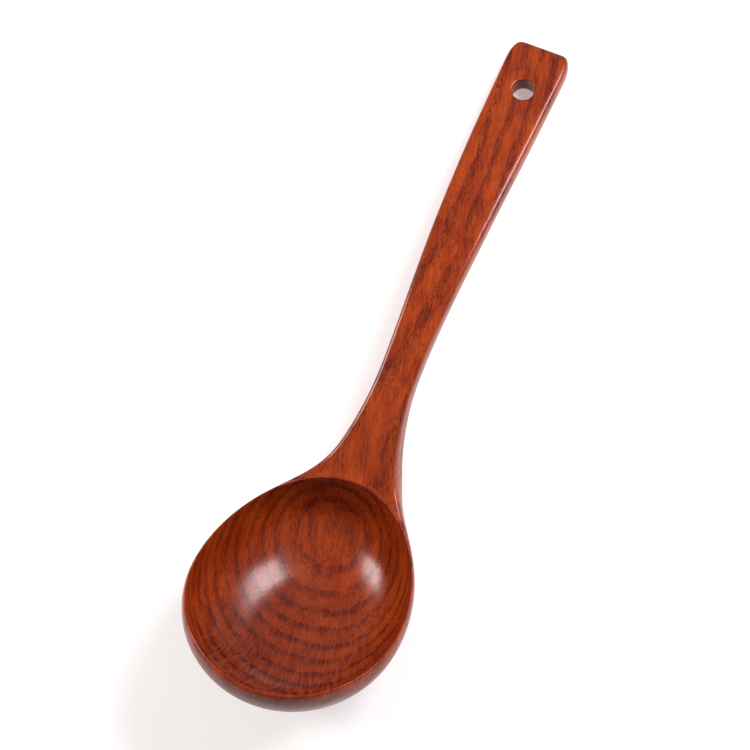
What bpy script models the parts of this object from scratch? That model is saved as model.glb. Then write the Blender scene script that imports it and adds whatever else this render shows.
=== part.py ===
"""Wooden ladle carved from one billet: a deep egg-shaped bowl and a handle that flares to a hanging hole.

Metres, +Z up. The ladle is designed in its carving frame, with the bowl's rim in the plane z = 0, the
bowl's centre at the origin and the handle towards +Y. An empty then tips it back until bowl and handle
end rest on z = 0.
"""

import math

import bmesh
import bpy
from mathutils import Matrix, Vector

# The bowl. The hollow is round in front and on its sides, and reaches further back, towards the handle.
HOLLOW_HALF_WIDTH = 0.0439
HOLLOW_FRONT = 0.0464
HOLLOW_BACK = 0.0560
HOLLOW_DEPTH = 0.0300
RIM_LIFT = 0.0078  # how far the rim climbs where it meets the handle
LIP = 0.0012  # width of the rim's rounded lip
LIP_DROP = 0.0006
WALL = 0.0021  # how far the bowl swells out below the lip
WAIST_DROP = 0.0080  # where it is widest, below the rim
FLOOR = 0.0046  # wood under the lowest point of the hollow

# How the bowl closes in: share of its outline, share of its depth.
HOLLOW_PROFILE = ((0.985, 0.28), (0.86, 0.68), (0.56, 0.94))
OUTSIDE_PROFILE = ((0.90, 0.56), (0.67, 0.84), (0.38, 0.99))
HOLLOW_DISH = 0.07  # how far the middle sinks below the last ring, as a share of the depth
OUTSIDE_DISH = 0.02

# The handle, along a spine in the plane x = 0: one long arc, then a straight end with the hanging hole.
SPINE_START = (0.0680, 0.0070)  # y and z
SPINE_SLOPE_START = math.radians(46.7)
SPINE_SLOPE_END = math.radians(16.1)
SPINE_LENGTH = 0.1924
STRAIGHT_END = 0.0600
NECK_THICKNESS = 0.0115
END_THICKNESS = 0.0085
# Half width of the plain handle: distance along the spine, half width.
HALF_WIDTHS = ((0.035, 0.0077), (0.065, 0.0087), (0.100, 0.0109), (0.145, 0.0126), (SPINE_LENGTH, 0.0134))
EDGE = 0.0032  # how far the long edges' rounding reaches in from the sides
END_ROUNDING = 0.0045  # the end's corners begin to round this far before it,
END_INSET = 0.0026  # and take this much off each side
END_THINNING = 0.0010
# Where the bowl runs into the neck: distance along the spine, half width, thickness, and how far the sides
# trail.
SHOULDERS = (
    (0.0000, 0.0168, 0.0140, 0.0072),
    (0.0080, 0.0120, 0.0135, 0.0010),
    (0.0200, 0.0095, 0.0125, 0.0000),
)
NECK_STATIONS = (0.035, 0.065, 0.100)
HOLE_DIAMETER = 0.0093
HOLE_FROM_END = 0.0220
HOLE_MARGIN = 0.0085  # from the hole's centre to the cage's sections before and after it

# The cage. Its columns are counted from the handle, which grows out of columns -2 to 2.
COLUMNS = 16
HANDLE_COLUMNS = (-2, -1, 0, 1, 2)
ROUND_16 = 1.026  # a cage of 16 sides is this much wider than the smooth round that it gives
ROUND_8 = 1.108  # and one of 8 sides
SUBDIVISIONS = 2
CRISP = 0.5  # crease of the hollow's edge and of the hole's

HANDLE_BEGINS = 0.100  # y, past which the lowest point belongs to the handle
STEEPEST_TILT = math.radians(-60.0)
TILT_STEPS = 50

WOOD_COLOUR = (0.30, 0.065, 0.018, 1.0)
WOOD_ROUGHNESS = 0.28


def clear_scene():
    for obj in list(bpy.data.objects):
        bpy.data.objects.remove(obj)


def lacquered_wood():
    material = bpy.data.materials.new("lacquered_wood")
    material.use_nodes = True
    shader = material.node_tree.nodes["Principled BSDF"]
    shader.inputs["Base Color"].default_value = WOOD_COLOUR
    shader.inputs["Roughness"].default_value = WOOD_ROUGHNESS
    shader.inputs["Metallic"].default_value = 0.0
    return material


def egg_ring(grow, height, lift):
    """One ring of the bowl's cage: the hollow's outline grown outwards, lifted towards the handle."""
    ring = []
    for column in range(COLUMNS):
        angle = math.tau * column / COLUMNS
        back = math.cos(angle)
        reach = HOLLOW_BACK if back > 0 else HOLLOW_FRONT
        x = (HOLLOW_HALF_WIDTH * ROUND_16 + grow) * math.sin(angle)
        y = (reach * ROUND_16 + grow) * back
        ring.append(Vector((x, y, height + lift * max(0.0, back) ** 3)))
    return ring


def closing_in(ring, profile, depth):
    """Copies of a ring that shrink towards the bowl's axis as they go down."""
    rings = []
    for share, fall in profile:
        rings.append([Vector((point.x * share, point.y * share, -fall * depth)) for point in ring])
    return rings


def add_loop(bm, points):
    return [bm.verts.new(point) for point in points]


def bridge(bm, first, second, skip=()):
    """Quads between two closed loops of the same length, but not at the indices in skip."""
    for i in range(len(first)):
        if i not in skip:
            j = (i + 1) % len(first)
            bm.faces.new((first[i], first[j], second[j], second[i]))


def fill_disc(bm, ring, dish):
    """Closes a level ring of 16 with a grid of 4 x 4 quads, whose middle lies lower by dish."""
    side = COLUMNS // 4
    corner = -side // 2
    grid = {}
    for step in range(side):
        grid[step, 0] = ring[corner + step]
        grid[side, step] = ring[corner + side + step]
        grid[side - step, side] = ring[corner + 2 * side + step]
        grid[0, side - step] = ring[corner + 3 * side + step]
    for i in range(1, side):
        for j in range(1, side):
            u = 2 * i / side - 1
            v = 2 * j / side - 1
            across = grid[i, 0].co.lerp(grid[i, side].co, j / side)
            along = grid[0, j].co.lerp(grid[side, j].co, i / side)
            point = (across + along) / 2
            point.z -= dish * (1 - (u * u + v * v) / 2)
            grid[i, j] = bm.verts.new(point)
    for i in range(side):
        for j in range(side):
            bm.faces.new((grid[i, j], grid[i + 1, j], grid[i + 1, j + 1], grid[i, j + 1]))


def spine(distance):
    """Point and slope of the handle's middle line at this distance from its start."""
    arc = SPINE_LENGTH - STRAIGHT_END
    turn = SPINE_SLOPE_START - SPINE_SLOPE_END
    radius = arc / turn
    slope = SPINE_SLOPE_START - turn * min(distance, arc) / arc
    y = SPINE_START[0] + radius * (math.sin(SPINE_SLOPE_START) - math.sin(slope))
    z = SPINE_START[1] + radius * (math.cos(slope) - math.cos(SPINE_SLOPE_START))
    straight = max(0.0, distance - arc)
    return Vector((0, y + straight * math.cos(slope), z + straight * math.sin(slope))), slope


def handle_section(distance, half_width, thickness, bow=0.0):
    """The 12 cage points round the handle: five on top from -X to +X, one on each side, five below."""
    centre, slope = spine(distance)
    frame = Matrix.Translation(centre) @ Matrix.Rotation(slope, 4, "X")
    inner = half_width - min(EDGE, half_width / 2)
    top = [-half_width, -inner, 0.0, inner, half_width]
    outline = [(x, thickness / 2) for x in top]
    outline += [(half_width, 0.0)]
    outline += [(x, -thickness / 2) for x in reversed(top)]
    outline += [(-half_width, 0.0)]
    return [frame @ Vector((x, -bow * (x / half_width) ** 2, z)) for x, z in outline]


def tapered(distance):
    """Half width and thickness of the plain handle, from the neck to the flared end."""
    for (start, narrow), (end, wide) in zip(HALF_WIDTHS, HALF_WIDTHS[1:]):
        if distance <= end:
            break
    half_width = narrow + (wide - narrow) * (distance - start) / (end - start)
    thinned = min(1.0, distance / (SPINE_LENGTH - STRAIGHT_END))
    thickness = NECK_THICKNESS + (END_THICKNESS - NECK_THICKNESS) * thinned
    return half_width, thickness


def handle_sections():
    """Every section of the handle's cage from the shoulders to the end, which comes last."""
    arc_ends = SPINE_LENGTH - STRAIGHT_END
    hole_at = SPINE_LENGTH - HOLE_FROM_END
    before_hole = hole_at - HOLE_MARGIN
    stations = (*NECK_STATIONS, arc_ends, (arc_ends + before_hole) / 2, before_hole)
    stations = (*stations, hole_at, hole_at + HOLE_MARGIN, SPINE_LENGTH - END_ROUNDING)
    sections = [handle_section(*shoulder) for shoulder in SHOULDERS]
    sections += [handle_section(distance, *tapered(distance)) for distance in stations]
    half_width, thickness = tapered(SPINE_LENGTH)
    sections += [handle_section(SPINE_LENGTH, half_width - END_INSET, thickness - END_THINNING)]
    return sections


def close_end(bm, loop):
    """Fills the handle's last section with two rows of four quads."""
    middle = [bm.verts.new((loop[i].co + loop[10 - i].co) / 2) for i in (1, 2, 3)]
    rows = (loop[:5], [loop[11], *middle, loop[5]], loop[10:5:-1])
    for upper, lower in zip(rows, rows[1:]):
        for i in range(4):
            bm.faces.new((upper[i], upper[i + 1], lower[i + 1], lower[i]))


def hole_mouth(bm, before, at, after, left, centre, right):
    """Opens a round mouth in one face of the handle, about the centre point of the section called at."""
    surround = [before[left], before[centre], before[right], at[right]]
    surround += [after[right], after[centre], after[left], at[left]]
    middle = at[centre].co.copy()
    bm.verts.remove(at[centre])
    along = (after[centre].co - before[centre].co).normalized()
    mouth = []
    for i in range(8):
        angle = math.radians(225 + 45 * i)
        reach = Vector((math.cos(angle), 0, 0)) + along * math.sin(angle)
        mouth.append(bm.verts.new(middle + HOLE_DIAMETER / 2 * ROUND_8 * reach))
    bridge(bm, surround, mouth)
    return mouth


def ladle_cage():
    """The coarse cage of the whole ladle, which Subdivision Surface smooths."""
    bm = bmesh.new()
    rim = egg_ring(0.0, 0.0, RIM_LIFT)
    lip = egg_ring(LIP, -LIP_DROP, RIM_LIFT)
    waist = egg_ring(WALL, -WAIST_DROP, RIM_LIFT / 2)
    hollow = closing_in(rim, HOLLOW_PROFILE, HOLLOW_DEPTH)
    outside = closing_in(waist, OUTSIDE_PROFILE, HOLLOW_DEPTH + FLOOR)
    loops = [add_loop(bm, ring) for ring in (*reversed(hollow), rim, lip, waist, *outside)]
    rim_loop, lip_loop, waist_loop, under_loop = loops[len(hollow):len(hollow) + 4]
    root = [column % COLUMNS for column in HANDLE_COLUMNS]
    for first, second in zip(loops, loops[1:]):
        behind_handle = first in (lip_loop, waist_loop)
        bridge(bm, first, second, skip=root[:-1] if behind_handle else ())
    fill_disc(bm, loops[0], HOLLOW_DISH * HOLLOW_DEPTH)
    fill_disc(bm, loops[-1], OUTSIDE_DISH * (HOLLOW_DEPTH + FLOOR))

    previous = [lip_loop[i] for i in root]
    previous += [waist_loop[root[-1]]]
    previous += [under_loop[i] for i in reversed(root)]
    previous += [waist_loop[root[0]]]
    handle = []
    for section in handle_sections():
        loop = add_loop(bm, section)
        bridge(bm, previous, loop)
        handle.append(loop)
        previous = loop
    close_end(bm, previous)

    around_hole = handle[-5:-2]
    top_mouth = hole_mouth(bm, *around_hole, left=1, centre=2, right=3)
    under_mouth = hole_mouth(bm, *around_hole, left=9, centre=8, right=7)
    bridge(bm, top_mouth, under_mouth)

    bmesh.ops.recalc_face_normals(bm, faces=bm.faces)
    crease = bm.edges.layers.float.new("crease_edge")
    for loop in (rim_loop, top_mouth, under_mouth):
        for i in range(len(loop)):
            bm.edges.get((loop[i - 1], loop[i]))[crease] = CRISP
    return bm


def add_ladle(collection):
    bm = ladle_cage()
    mesh = bpy.data.meshes.new("ladle")
    bm.to_mesh(mesh)
    bm.free()
    mesh.shade_smooth()
    mesh.materials.append(lacquered_wood())
    ladle = bpy.data.objects.new("ladle", mesh)
    collection.objects.link(ladle)
    smooth = ladle.modifiers.new("smooth", "SUBSURF")
    smooth.levels = SUBDIVISIONS
    smooth.render_levels = SUBDIVISIONS
    return ladle


def rest_tilt(points):
    """How far the ladle tips back before its bowl and its handle's end both touch the table."""
    low, high = STEEPEST_TILT, 0.0
    for _ in range(TILT_STEPS):
        tilt = (low + high) / 2
        heights = [(math.sin(tilt) * point.y + math.cos(tilt) * point.z, point.y) for point in points]
        handle_lowest = min(height for height, y in heights if y > HANDLE_BEGINS)
        bowl_lowest = min(height for height, y in heights if y <= HANDLE_BEGINS)
        if handle_lowest < bowl_lowest:
            low = tilt
        else:
            high = tilt
    return tilt


def lay_down(ladle, collection):
    """Parents the ladle to an empty that lays it on the table, centred over the origin."""
    bpy.context.view_layer.update()
    evaluated = ladle.evaluated_get(bpy.context.evaluated_depsgraph_get())
    points = [vertex.co.copy() for vertex in evaluated.to_mesh().vertices]
    evaluated.to_mesh_clear()

    tilt = rest_tilt(points)
    turned = [Matrix.Rotation(tilt, 3, "X") @ point for point in points]
    middle = (min(point.y for point in turned) + max(point.y for point in turned)) / 2
    stand = bpy.data.objects.new("stand", None)
    stand.rotation_euler.x = tilt
    stand.location = (0.0, -middle, -min(point.z for point in turned))
    collection.objects.link(stand)
    ladle.parent = stand


def main():
    clear_scene()
    collection = bpy.data.collections.new("wooden_ladle")
    bpy.context.scene.collection.children.link(collection)
    lay_down(add_ladle(collection), collection)


if __name__ == "__main__":
    main()
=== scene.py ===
"""Looks of the wooden ladle: the smooth carved body, its lacquered wood, a pale floor and studio light."""

import math

import bmesh
import bpy
from mathutils import Matrix, Vector


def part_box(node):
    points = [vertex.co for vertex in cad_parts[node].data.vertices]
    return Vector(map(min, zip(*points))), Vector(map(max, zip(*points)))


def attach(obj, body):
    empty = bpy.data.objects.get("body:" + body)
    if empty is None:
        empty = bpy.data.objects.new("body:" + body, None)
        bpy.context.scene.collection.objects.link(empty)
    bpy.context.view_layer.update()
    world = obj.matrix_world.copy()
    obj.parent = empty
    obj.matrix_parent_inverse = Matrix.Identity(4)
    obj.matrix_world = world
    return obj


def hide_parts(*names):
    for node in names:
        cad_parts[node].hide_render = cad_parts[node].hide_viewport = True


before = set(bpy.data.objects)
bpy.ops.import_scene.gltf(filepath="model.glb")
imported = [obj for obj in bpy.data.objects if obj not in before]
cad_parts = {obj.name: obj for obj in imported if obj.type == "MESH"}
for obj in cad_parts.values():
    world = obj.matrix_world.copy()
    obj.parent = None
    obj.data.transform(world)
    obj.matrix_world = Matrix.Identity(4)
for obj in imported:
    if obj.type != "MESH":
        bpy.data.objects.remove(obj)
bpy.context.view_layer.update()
LADLE_LOW, LADLE_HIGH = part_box("ladle")

# Metres. The shape is designed in the ladle's carving frame: rim in the plane z = 0, bowl's centre at the
# origin, handle to +Y. Its sizes are those of the CAD ladle, and it is then laid where the CAD ladle lies.

# The bowl. The hollow is round in front and on its sides, and reaches further back, towards the handle.
HOLLOW_HALF_WIDTH = 0.0439
HOLLOW_FRONT = 0.0464
HOLLOW_BACK = 0.0560
HOLLOW_DEPTH = 0.0300
RIM_LIFT = 0.0078  # how far the rim climbs where it meets the handle
LIP = 0.0012  # width of the rim's rounded lip
LIP_DROP = 0.0006
WALL = 0.0021  # how far the bowl swells out below the lip
WAIST_DROP = 0.0080  # where it is widest, below the rim
FLOOR = 0.0046  # wood under the lowest point of the hollow

# How the bowl closes in: share of its outline, share of its depth.
HOLLOW_PROFILE = ((0.985, 0.28), (0.86, 0.68), (0.56, 0.94))
OUTSIDE_PROFILE = ((0.90, 0.56), (0.67, 0.84), (0.38, 0.99))
HOLLOW_DISH = 0.07  # how far the middle sinks below the last ring, as a share of the depth
OUTSIDE_DISH = 0.02

# The handle, along a spine in the plane x = 0: one long arc, then a straight end with the hanging hole.
SPINE_START = (0.0680, 0.0070)  # y and z
SPINE_SLOPE_START = math.radians(46.7)
SPINE_SLOPE_END = math.radians(16.1)
SPINE_LENGTH = 0.1924
STRAIGHT_END = 0.0600
NECK_THICKNESS = 0.0115
END_THICKNESS = 0.0085
# Half width of the plain handle: distance along the spine, half width.
HALF_WIDTHS = ((0.035, 0.0077), (0.065, 0.0087), (0.100, 0.0109), (0.145, 0.0126), (SPINE_LENGTH, 0.0134))
EDGE = 0.0032  # how far the long edges' rounding reaches in from the sides
END_ROUNDING = 0.0045  # the end's corners begin to round this far before it,
END_INSET = 0.0026  # and take this much off each side
END_THINNING = 0.0010
# Where the bowl runs into the neck: distance along the spine, half width, thickness, and how far the sides
# trail.
SHOULDERS = (
    (0.0000, 0.0168, 0.0140, 0.0072),
    (0.0080, 0.0120, 0.0135, 0.0010),
    (0.0200, 0.0095, 0.0125, 0.0000),
)
NECK_STATIONS = (0.035, 0.065, 0.100)
HOLE_DIAMETER = 0.0093
HOLE_FROM_END = 0.0220
HOLE_MARGIN = 0.0085  # from the hole's centre to the cage's sections before and after it

# The cage. Its columns are counted from the handle, which grows out of columns -2 to 2.
COLUMNS = 16
HANDLE_COLUMNS = (-2, -1, 0, 1, 2)
ROUND_16 = 1.026  # a cage of 16 sides is this much wider than the smooth round that it gives
ROUND_8 = 1.108  # and one of 8 sides
SUBDIVISIONS = 4
CRISP = 0.5  # crease of the hollow's edge and of the hole's

HANDLE_BEGINS = 0.100  # y, past which the lowest point belongs to the handle
STEEPEST_TILT = math.radians(-60.0)
TILT_STEPS = 50

# The camera, in the carving frame: it sees the bowl from its front right and from above.
VIEW_AZIMUTH = math.radians(20.45)
VIEW_ELEVATION = math.radians(52.7)
VIEW_ROLL = math.radians(4.9)
VIEW_DISTANCE = 1.194
VIEW_AIM = (0.0314, 0.0884)  # from the bowl's centre to the picture's centre, right and up
PICTURE_WIDTH = 0.300  # what the picture spans at the bowl's distance

# Studio, in the world's frame.
FLOOR_SIZE = 6.0
FLOOR_COLOUR = (0.90, 0.90, 0.90, 1.0)
FLOOR_ROUGHNESS = 0.9
FLOOR_GLOW = 0.30  # a lit table, so that the shadows stay faint
WHITE = (1.0, 1.0, 1.0, 1.0)
WORLD_STRENGTH = 0.26
# Soft boxes: name, direction from the bowl, distance, width, height, watts, colour.
SOFT_BOXES = (
    ("soft_box_right", (0.398, 0.631, 0.666), 1.2, 0.62, 0.44, 14.0, (1.0, 0.94, 0.98)),
    ("soft_box_left", (-0.79, 0.06, 0.60), 1.2, 0.36, 0.50, 9.5, (1.0, 0.93, 0.90)),
)

# The tree's own axes, seen from the carving frame: its fibres rise through the bowl towards the handle and
# turn a little to the left, and its pith lies below the bowl. From here on, lengths are in millimetres.
MM = 1000.0
FIBRE_SLOPE = math.radians(45.0)
FIBRE_TURN = math.radians(-10.5)
PITH_BELOW = 95.0
PITH_ASIDE = -6.0
BEND_BEGINS = 90.0  # past this y, the fibres bend down with the handle,
BEND = 0.0025  # by this times the square of the distance

# Growth rings.
YEAR = 5.5  # one year's growth
YEAR_ENDS = 51.9  # a distance from the pith at which a year ends
YEARS_BEFORE = 100  # whole years added, so that the count stays above zero
EARLY_SETS_IN = (0.0, 0.10)  # shares of a year between which the dark early wood sets in,
EARLY_FADES = (0.24, 0.58)  # and between which it fades
END_GRAIN = (0.30, 0.95)  # cosine between normal and fibres: no end grain yet, nothing but end grain

# Grain sizes of the noises: across the fibres, again across, and along them.
WANDER_SIZE = (30.0, 30.0, 90.0)
WANDER = 4.5  # how far the rings wander
RIPPLE_SIZE = (4.0, 4.0, 25.0)
RIPPLE = 2.4
PORE_SIZE = (0.45, 0.45, 3.6)
CROWD_SIZE = (3.5, 3.5, 16.0)
STREAK_SIZE = (0.9, 0.9, 24.0)
PATCH_SIZE = (7.0, 7.0, 24.0)
UNEVEN_SIZE = (6.0, 6.0, 20.0)
ORANGE_PEEL_SIZE = (3.5, 3.5, 6.0)
RAY_SIZE = (5.0, 40.0, 26.0)  # round the pith, away from it, and along the fibres

# The part of each noise's range that is spread over 0 to 1.
CROWD_RANGE = (0.35, 0.65)
STREAK_RANGE = (0.36, 0.64)
PATCH_RANGE = (0.38, 0.62)
UNEVEN_RANGE = (0.38, 0.62)

# Pores: room for them in early wood and in crowds, less each pore's own chance, decides whether it shows.
PORE_EDGE = (0.18, 0.50)  # full up to the first share of its cell, and ends at the second
ROOM_IN_EARLY = 0.55
ROOM_IN_CROWD = 0.45
PORE_CHANCE = 0.75
PORE_SHOWS = (-0.05, 0.25)
RAYS = 8.0  # rays to one swing of their noise
RAY_EDGE = (0.06, 0.26)

# Stained wood, darkest in the early wood and on the end grain.
ORANGE = (0.40, 0.056, 0.006, 1.0)
RED = (0.14, 0.010, 0.002, 1.0)
MAROON = (0.060, 0.005, 0.004, 1.0)
PORE_COLOUR = (0.050, 0.006, 0.003, 1.0)
RAY_COLOUR = (0.26, 0.055, 0.026, 1.0)
STREAK_SHARE = 0.60  # of the orange and red, and patches have the rest
STREAKS_FROM_EARLY = 0.45  # how much of the streaks belongs to early wood alone
CALM_STREAK = 0.75  # what late wood has in their place
UNEVENNESS = 0.70  # how far the rings fade in places
RING_SHARE = 0.38
RING_SHARE_ON_END = 0.50  # more than that, on end grain
END_GRAIN_SHARE = 0.57
RAY_SHARE = 0.03
RAY_SHARE_ON_END = 0.50
PORE_SHARE = 0.85

# Wood and the clear lacquer over it.
ROUGHNESS = 0.42
PORE_ROUGHNESS = 0.20  # more than that, in a pore
COAT_WEIGHT = 0.75
COAT_ROUGHNESS = 0.22
BUMP_STRENGTH = 0.5
BUMP_HEIGHT = 0.00006  # metres
PORE_RELIEF = -0.35
ORANGE_PEEL_RELIEF = 0.6


# ------------------------------------------------------------------------------------------------------ shape

def egg_ring(grow, height, lift):
    """One ring of the bowl's cage: the hollow's outline grown outwards, lifted towards the handle."""
    ring = []
    for column in range(COLUMNS):
        angle = math.tau * column / COLUMNS
        back = math.cos(angle)
        reach = HOLLOW_BACK if back > 0 else HOLLOW_FRONT
        x = (HOLLOW_HALF_WIDTH * ROUND_16 + grow) * math.sin(angle)
        y = (reach * ROUND_16 + grow) * back
        ring.append(Vector((x, y, height + lift * max(0.0, back) ** 3)))
    return ring


def closing_in(ring, profile, depth):
    """Copies of a ring that shrink towards the bowl's axis as they go down."""
    rings = []
    for share, fall in profile:
        rings.append([Vector((point.x * share, point.y * share, -fall * depth)) for point in ring])
    return rings


def add_loop(bm, points):
    return [bm.verts.new(point) for point in points]


def bridge(bm, first, second, skip=()):
    """Quads between two closed loops of the same length, but not at the indices in skip."""
    for i in range(len(first)):
        if i not in skip:
            j = (i + 1) % len(first)
            bm.faces.new((first[i], first[j], second[j], second[i]))


def fill_disc(bm, ring, dish):
    """Closes a level ring of 16 with a grid of 4 x 4 quads, whose middle lies lower by dish."""
    side = COLUMNS // 4
    corner = -side // 2
    grid = {}
    for step in range(side):
        grid[step, 0] = ring[corner + step]
        grid[side, step] = ring[corner + side + step]
        grid[side - step, side] = ring[corner + 2 * side + step]
        grid[0, side - step] = ring[corner + 3 * side + step]
    for i in range(1, side):
        for j in range(1, side):
            u = 2 * i / side - 1
            v = 2 * j / side - 1
            across = grid[i, 0].co.lerp(grid[i, side].co, j / side)
            along = grid[0, j].co.lerp(grid[side, j].co, i / side)
            point = (across + along) / 2
            point.z -= dish * (1 - (u * u + v * v) / 2)
            grid[i, j] = bm.verts.new(point)
    for i in range(side):
        for j in range(side):
            bm.faces.new((grid[i, j], grid[i + 1, j], grid[i + 1, j + 1], grid[i, j + 1]))


def spine(distance):
    """Point and slope of the handle's middle line at this distance from its start."""
    arc = SPINE_LENGTH - STRAIGHT_END
    turn = SPINE_SLOPE_START - SPINE_SLOPE_END
    radius = arc / turn
    slope = SPINE_SLOPE_START - turn * min(distance, arc) / arc
    y = SPINE_START[0] + radius * (math.sin(SPINE_SLOPE_START) - math.sin(slope))
    z = SPINE_START[1] + radius * (math.cos(slope) - math.cos(SPINE_SLOPE_START))
    straight = max(0.0, distance - arc)
    return Vector((0, y + straight * math.cos(slope), z + straight * math.sin(slope))), slope


def handle_section(distance, half_width, thickness, bow=0.0):
    """The 12 cage points round the handle: five on top from -X to +X, one on each side, five below."""
    centre, slope = spine(distance)
    place = Matrix.Translation(centre) @ Matrix.Rotation(slope, 4, "X")
    inner = half_width - min(EDGE, half_width / 2)
    top = [-half_width, -inner, 0.0, inner, half_width]
    outline = [(x, thickness / 2) for x in top]
    outline += [(half_width, 0.0)]
    outline += [(x, -thickness / 2) for x in reversed(top)]
    outline += [(-half_width, 0.0)]
    return [place @ Vector((x, -bow * (x / half_width) ** 2, z)) for x, z in outline]


def tapered(distance):
    """Half width and thickness of the plain handle, from the neck to the flared end."""
    for (start, narrow), (end, wide) in zip(HALF_WIDTHS, HALF_WIDTHS[1:]):
        if distance <= end:
            break
    half_width = narrow + (wide - narrow) * (distance - start) / (end - start)
    thinned = min(1.0, distance / (SPINE_LENGTH - STRAIGHT_END))
    thickness = NECK_THICKNESS + (END_THICKNESS - NECK_THICKNESS) * thinned
    return half_width, thickness


def handle_sections():
    """Every section of the handle's cage from the shoulders to the end, which comes last."""
    arc_ends = SPINE_LENGTH - STRAIGHT_END
    hole_at = SPINE_LENGTH - HOLE_FROM_END
    before_hole = hole_at - HOLE_MARGIN
    stations = (*NECK_STATIONS, arc_ends, (arc_ends + before_hole) / 2, before_hole)
    stations = (*stations, hole_at, hole_at + HOLE_MARGIN, SPINE_LENGTH - END_ROUNDING)
    sections = [handle_section(*shoulder) for shoulder in SHOULDERS]
    sections += [handle_section(distance, *tapered(distance)) for distance in stations]
    half_width, thickness = tapered(SPINE_LENGTH)
    sections += [handle_section(SPINE_LENGTH, half_width - END_INSET, thickness - END_THINNING)]
    return sections


def close_end(bm, loop):
    """Fills the handle's last section with two rows of four quads."""
    middle = [bm.verts.new((loop[i].co + loop[10 - i].co) / 2) for i in (1, 2, 3)]
    rows = (loop[:5], [loop[11], *middle, loop[5]], loop[10:5:-1])
    for upper, lower in zip(rows, rows[1:]):
        for i in range(4):
            bm.faces.new((upper[i], upper[i + 1], lower[i + 1], lower[i]))


def hole_mouth(bm, before, at, after, left, centre, right):
    """Opens a round mouth in one face of the handle, about the centre point of the section called at."""
    surround = [before[left], before[centre], before[right], at[right]]
    surround += [after[right], after[centre], after[left], at[left]]
    middle = at[centre].co.copy()
    bm.verts.remove(at[centre])
    along = (after[centre].co - before[centre].co).normalized()
    mouth = []
    for i in range(8):
        angle = math.radians(225 + 45 * i)
        reach = Vector((math.cos(angle), 0, 0)) + along * math.sin(angle)
        mouth.append(bm.verts.new(middle + HOLE_DIAMETER / 2 * ROUND_8 * reach))
    bridge(bm, surround, mouth)
    return mouth


def ladle_cage():
    """The coarse cage of the whole ladle, which Subdivision Surface smooths."""
    bm = bmesh.new()
    rim = egg_ring(0.0, 0.0, RIM_LIFT)
    lip = egg_ring(LIP, -LIP_DROP, RIM_LIFT)
    waist = egg_ring(WALL, -WAIST_DROP, RIM_LIFT / 2)
    hollow = closing_in(rim, HOLLOW_PROFILE, HOLLOW_DEPTH)
    outside = closing_in(waist, OUTSIDE_PROFILE, HOLLOW_DEPTH + FLOOR)
    loops = [add_loop(bm, ring) for ring in (*reversed(hollow), rim, lip, waist, *outside)]
    rim_loop, lip_loop, waist_loop, under_loop = loops[len(hollow):len(hollow) + 4]
    root = [column % COLUMNS for column in HANDLE_COLUMNS]
    for first, second in zip(loops, loops[1:]):
        behind_handle = first in (lip_loop, waist_loop)
        bridge(bm, first, second, skip=root[:-1] if behind_handle else ())
    fill_disc(bm, loops[0], HOLLOW_DISH * HOLLOW_DEPTH)
    fill_disc(bm, loops[-1], OUTSIDE_DISH * (HOLLOW_DEPTH + FLOOR))

    previous = [lip_loop[i] for i in root]
    previous += [waist_loop[root[-1]]]
    previous += [under_loop[i] for i in reversed(root)]
    previous += [waist_loop[root[0]]]
    handle = []
    for section in handle_sections():
        loop = add_loop(bm, section)
        bridge(bm, previous, loop)
        handle.append(loop)
        previous = loop
    close_end(bm, previous)

    around_hole = handle[-5:-2]
    top_mouth = hole_mouth(bm, *around_hole, left=1, centre=2, right=3)
    under_mouth = hole_mouth(bm, *around_hole, left=9, centre=8, right=7)
    bridge(bm, top_mouth, under_mouth)

    bmesh.ops.recalc_face_normals(bm, faces=bm.faces)
    crease = bm.edges.layers.float.new("crease_edge")
    for loop in (rim_loop, top_mouth, under_mouth):
        for i in range(len(loop)):
            bm.edges.get((loop[i - 1], loop[i]))[crease] = CRISP
    return bm


def rest_tilt(points):
    """How far the ladle tips back before its bowl and its handle's end both touch the table."""
    low, high = STEEPEST_TILT, 0.0
    for _ in range(TILT_STEPS):
        tilt = (low + high) / 2
        heights = [(math.sin(tilt) * point.y + math.cos(tilt) * point.z, point.y) for point in points]
        handle_lowest = min(height for height, y in heights if y > HANDLE_BEGINS)
        bowl_lowest = min(height for height, y in heights if y <= HANDLE_BEGINS)
        if handle_lowest < bowl_lowest:
            low = tilt
        else:
            high = tilt
    return tilt


def make_ladle():
    """The ladle as one smooth mesh, laid as the CAD ladle lies, and its placement from the carving frame."""
    bm = ladle_cage()
    cage = bpy.data.meshes.new("ladle_cage")
    bm.to_mesh(cage)
    bm.free()
    ladle = bpy.data.objects.new("carved_ladle", cage)
    bpy.context.scene.collection.objects.link(ladle)
    smooth = ladle.modifiers.new("smooth", "SUBSURF")
    smooth.levels = SUBDIVISIONS
    smooth.render_levels = SUBDIVISIONS
    bpy.context.view_layer.update()
    smoothed = ladle.evaluated_get(bpy.context.evaluated_depsgraph_get())
    fine = bpy.data.meshes.new_from_object(smoothed)
    ladle.modifiers.remove(smooth)
    ladle.data = fine
    bpy.data.meshes.remove(cage)
    fine.name = "carved_ladle"

    tilted = Matrix.Rotation(rest_tilt([vertex.co for vertex in fine.vertices]), 4, "X")
    turned = [tilted @ vertex.co for vertex in fine.vertices]
    middle = (min(point.y for point in turned) + max(point.y for point in turned)) / 2
    ground = min(point.z for point in turned)
    centre = (LADLE_LOW + LADLE_HIGH) / 2
    laid = Matrix.Translation((centre.x, centre.y - middle, LADLE_LOW.z - ground)) @ tilted
    fine.transform(laid)
    fine.shade_smooth()
    return ladle, laid


# --------------------------------------------------------------------------------------------------- material

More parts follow.
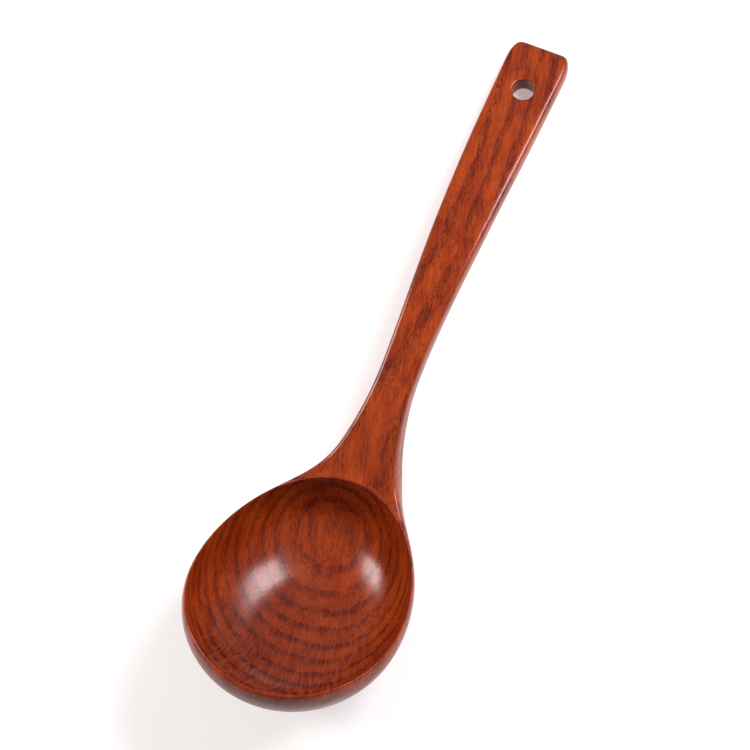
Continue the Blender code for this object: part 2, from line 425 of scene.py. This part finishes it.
class Nodes:
    """Short ways to add and wire shader nodes."""

    def __init__(self, name):
        self.material = bpy.data.materials.new(name)
        self.material.use_nodes = True
        self.tree = self.material.node_tree
        self.shader = self.tree.nodes["Principled BSDF"]

    def add(self, kind, inputs=None, **settings):
        node = self.tree.nodes.new(kind)
        for key, value in settings.items():
            setattr(node, key, value)
        for key, value in (inputs or {}).items():
            self.put(node.inputs[key], value)
        return node

    def put(self, socket, value):
        if isinstance(value, bpy.types.NodeSocket):
            self.tree.links.new(value, socket)
        else:
            socket.default_value = value

    def math(self, operation, a, b=0.0):
        return self.add("ShaderNodeMath", {0: a, 1: b}, operation=operation).outputs[0]

    def times(self, a, b):
        return self.math("MULTIPLY", a, b)

    def plus(self, a, b):
        return self.math("ADD", a, b)

    def inverse(self, a):
        return self.math("SUBTRACT", 1.0, a)

    def swing(self, value, width):
        """A noise moved to the middle of zero, this wide from 0 to 1."""
        return self.times(self.math("SUBTRACT", value, 0.5), width)

    def vector(self, operation, a, b):
        return self.add("ShaderNodeVectorMath", {0: a, 1: b}, operation=operation).outputs[0]

    def scaled(self, vector, factor):
        return self.add("ShaderNodeVectorMath", {0: vector, "Scale": factor}, operation="SCALE").outputs[0]

    def dot(self, vector, direction):
        node = self.add("ShaderNodeVectorMath", {0: vector, 1: direction}, operation="DOT_PRODUCT")
        return node.outputs["Value"]

    def stretched(self, coordinates, lengths):
        """A texture vector in which one unit is this many millimetres along each coordinate."""
        shares = [self.math("DIVIDE", value, length) for value, length in zip(coordinates, lengths)]
        return self.add("ShaderNodeCombineXYZ", dict(enumerate(shares))).outputs[0]

    def noise(self, vector, detail=2.0, rough=0.5):
        settings = {"Vector": vector, "Scale": 1.0, "Detail": detail, "Roughness": rough}
        return self.add("ShaderNodeTexNoise", settings).outputs["Fac"]

    def cells(self, vector):
        """Distance to the nearest scattered point, and a random value for that point."""
        settings = {"Vector": vector, "Scale": 1.0, "Randomness": 1.0}
        node = self.add("ShaderNodeTexVoronoi", settings, feature="F1")
        chance = self.add("ShaderNodeSeparateColor", {0: node.outputs["Color"]}).outputs[0]
        return node.outputs["Distance"], chance

    def ramp(self, value, low, high):
        """0 at low, 1 at high, smooth between."""
        limits = {"Value": value, "From Min": low, "From Max": high, "To Min": 0.0, "To Max": 1.0}
        return self.add("ShaderNodeMapRange", limits, interpolation_type="SMOOTHSTEP").outputs["Result"]

    def mix(self, share, a, b):
        node = self.add("ShaderNodeMix", {"Factor": share}, data_type="RGBA", blend_type="MIX")
        colours = [socket for socket in node.inputs if socket.type == "RGBA"]
        self.put(colours[0], a)
        self.put(colours[1], b)
        return next(socket for socket in node.outputs if socket.type == "RGBA")


def tree_axes(n, laid):
    """Millimetres across, up and along the tree, and how far the surface is end grain, from 0 to 1."""
    turn = laid.to_3x3()
    place = n.add("ShaderNodeTexCoord").outputs["Object"]
    mm = n.scaled(n.vector("SUBTRACT", place, laid.translation), MM)
    beyond = n.math("SUBTRACT", n.dot(mm, turn @ Vector((0, 1, 0))), BEND_BEGINS)
    beyond = n.math("MAXIMUM", beyond, 0.0)
    sunk = n.times(n.times(beyond, beyond), BEND)
    mm = n.vector("ADD", mm, n.scaled(turn @ Vector((0, 0, 1)), sunk))
    mm = n.vector("ADD", mm, turn @ Vector((-PITH_ASIDE, 0, 0)))

    level = math.cos(FIBRE_TURN)
    rise = level * math.sin(FIBRE_SLOPE)
    fibre = Vector((math.sin(FIBRE_TURN), level * math.cos(FIBRE_SLOPE), rise))
    up = Vector((0, -math.sin(FIBRE_SLOPE), math.cos(FIBRE_SLOPE)))
    up = (up - fibre * up.dot(fibre)).normalized()
    side = fibre.cross(up)
    across, height, along = (n.dot(mm, turn @ axis) for axis in (side, up, fibre))

    normal = n.add("ShaderNodeNewGeometry").outputs["Normal"]
    facing = n.math("ABSOLUTE", n.dot(normal, turn @ fibre))
    return (across, height, along), n.ramp(facing, *END_GRAIN)


def growth_rings(n, tree):
    """Wandering distance from the pith, height above it, and the early wood's share, from 0 to 1."""
    across, height, _ = tree
    above_pith = n.plus(height, PITH_BELOW)
    straight = n.math("SQRT", n.plus(n.times(above_pith, above_pith), n.times(across, across)))
    wander = n.swing(n.noise(n.stretched(tree, WANDER_SIZE)), WANDER)
    ripple = n.swing(n.noise(n.stretched(tree, RIPPLE_SIZE)), RIPPLE)
    radius = n.plus(n.plus(straight, wander), ripple)
    years = n.math("DIVIDE", n.plus(radius, YEARS_BEFORE * YEAR - YEAR_ENDS), YEAR)
    phase = n.math("FRACT", years)
    early = n.times(n.ramp(phase, *EARLY_SETS_IN), n.inverse(n.ramp(phase, *EARLY_FADES)))
    return radius, above_pith, early


def pores(n, tree, early):
    """Vessels along the fibres, crowded in the early wood."""
    crowd = n.ramp(n.noise(n.stretched(tree, CROWD_SIZE), detail=3.0), *CROWD_RANGE)
    distance, chance = n.cells(n.stretched(tree, PORE_SIZE))
    room = n.plus(n.times(early, ROOM_IN_EARLY), n.times(crowd, ROOM_IN_CROWD))
    shows = n.ramp(n.math("SUBTRACT", room, n.times(chance, PORE_CHANCE)), *PORE_SHOWS)
    return n.times(n.inverse(n.ramp(distance, *PORE_EDGE)), shows)


def rays(n, tree, radius, above_pith):
    """Thin plates that run from the pith outwards, seen as light lines across the rings on end grain."""
    across, _, along = tree
    round_pith = n.times(n.math("ARCTAN2", across, above_pith), PITH_BELOW)
    noise = n.noise(n.stretched((round_pith, radius, along), RAY_SIZE), detail=1.0)
    from_ray = n.math("ABSOLUTE", n.math("SUBTRACT", n.math("FRACT", n.times(noise, RAYS)), 0.5))
    return n.inverse(n.ramp(from_ray, *RAY_EDGE))


def wood_colour(n, tree, end_grain, early, pore, ray):
    """Orange and red streaks and patches, darker in early wood, on end grain and in pores, paler on rays."""
    streak = n.ramp(n.noise(n.stretched(tree, STREAK_SIZE), detail=3.0, rough=0.6), *STREAK_RANGE)
    patch = n.ramp(n.noise(n.stretched(tree, PATCH_SIZE), detail=3.0, rough=0.6), *PATCH_RANGE)
    faded = n.times(n.ramp(n.noise(n.stretched(tree, UNEVEN_SIZE)), *UNEVEN_RANGE), UNEVENNESS)
    busy = n.plus(n.times(early, STREAKS_FROM_EARLY), 1.0 - STREAKS_FROM_EARLY)
    streak = n.plus(n.times(streak, busy), n.times(n.inverse(busy), CALM_STREAK))
    stain = n.plus(n.times(streak, STREAK_SHARE), n.times(patch, 1.0 - STREAK_SHARE))
    colour = n.mix(stain, RED, ORANGE)
    ring_share = n.plus(n.times(end_grain, RING_SHARE_ON_END), RING_SHARE)
    colour = n.mix(n.times(n.times(early, n.inverse(faded)), ring_share), colour, MAROON)
    colour = n.mix(n.times(end_grain, END_GRAIN_SHARE), colour, MAROON)
    ray_share = n.plus(n.times(end_grain, RAY_SHARE_ON_END), RAY_SHARE)
    colour = n.mix(n.times(ray, ray_share), colour, RAY_COLOUR)
    return n.mix(n.times(pore, PORE_SHARE), colour, PORE_COLOUR)


def lacquered_wood(laid):
    """Ring-porous hardwood as a solid texture, in millimetres along the tree's axes, under clear lacquer."""
    n = Nodes("lacquered_wood")
    tree, end_grain = tree_axes(n, laid)
    radius, above_pith, early = growth_rings(n, tree)
    pore = pores(n, tree, early)
    ray = rays(n, tree, radius, above_pith)
    n.put(n.shader.inputs["Base Color"], wood_colour(n, tree, end_grain, early, pore, ray))
    n.put(n.shader.inputs["Roughness"], n.plus(n.times(pore, PORE_ROUGHNESS), ROUGHNESS))
    n.shader.inputs["Specular IOR Level"].default_value = 0.0
    n.shader.inputs["Coat Weight"].default_value = COAT_WEIGHT
    n.shader.inputs["Coat Roughness"].default_value = COAT_ROUGHNESS

    orange_peel = n.noise(n.stretched(tree, ORANGE_PEEL_SIZE))
    relief = n.plus(n.times(pore, PORE_RELIEF), n.times(orange_peel, ORANGE_PEEL_RELIEF))
    settings = {"Strength": BUMP_STRENGTH, "Distance": BUMP_HEIGHT, "Height": relief}
    bump = n.add("ShaderNodeBump", settings).outputs[0]
    n.put(n.shader.inputs["Normal"], bump)
    n.put(n.shader.inputs["Coat Normal"], bump)
    return n.material


# ------------------------------------------------------------------------------------------------------ stage

def make_floor():
    bm = bmesh.new()
    bmesh.ops.create_grid(bm, x_segments=1, y_segments=1, size=FLOOR_SIZE / 2)
    mesh = bpy.data.meshes.new("floor")
    bm.to_mesh(mesh)
    bm.free()
    floor = bpy.data.objects.new("floor", mesh)
    bpy.context.scene.collection.objects.link(floor)
    floor.location.z = LADLE_LOW.z
    n = Nodes("pale_floor")
    n.shader.inputs["Base Color"].default_value = FLOOR_COLOUR
    n.shader.inputs["Roughness"].default_value = FLOOR_ROUGHNESS
    n.shader.inputs["Emission Color"].default_value = WHITE
    n.shader.inputs["Emission Strength"].default_value = FLOOR_GLOW
    mesh.materials.append(n.material)


def make_camera(laid):
    level = Vector((math.cos(VIEW_AZIMUTH), math.sin(VIEW_AZIMUTH), 0))
    ahead = Vector((math.sin(VIEW_AZIMUTH), -math.cos(VIEW_AZIMUTH), 0))
    back = ahead * math.cos(VIEW_ELEVATION) + Vector((0, 0, math.sin(VIEW_ELEVATION)))
    right = Matrix.Rotation(VIEW_ROLL, 3, back) @ level
    up = back.cross(right)
    place = Matrix((right, up, back)).transposed().to_4x4()
    place.translation = right * VIEW_AIM[0] + up * VIEW_AIM[1] + back * VIEW_DISTANCE
    data = bpy.data.cameras.new("camera")
    data.lens = data.sensor_width * VIEW_DISTANCE / PICTURE_WIDTH
    camera = bpy.data.objects.new("camera", data)
    bpy.context.scene.collection.objects.link(camera)
    camera.matrix_world = laid @ place
    bpy.context.scene.camera = camera


def make_soft_box(aim, name, towards, distance, width, height, watts, colour):
    """A soft box that lies in this direction from the aim and faces it."""
    data = bpy.data.lights.new(name, "AREA")
    data.shape = "RECTANGLE"
    data.size = width
    data.size_y = height
    data.energy = watts
    data.color = colour
    lamp = bpy.data.objects.new(name, data)
    bpy.context.scene.collection.objects.link(lamp)
    direction = Vector(towards).normalized()
    lamp.location = aim + direction * distance
    lamp.rotation_euler = direction.to_track_quat("Z", "Y").to_euler()


def make_world():
    world = bpy.data.worlds.new("studio")
    world.use_nodes = True
    background = world.node_tree.nodes["Background"]
    background.inputs["Color"].default_value = WHITE
    background.inputs["Strength"].default_value = WORLD_STRENGTH
    bpy.context.scene.world = world


def main():
    ladle, laid = make_ladle()
    ladle.data.materials.clear()
    ladle.data.materials.append(lacquered_wood(laid))
    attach(ladle, "root")
    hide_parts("ladle")

    make_floor()
    make_world()
    for soft_box in SOFT_BOXES:
        make_soft_box(laid.translation, *soft_box)
    make_camera(laid)
    bpy.context.scene.view_settings.view_transform = "Standard"


main()
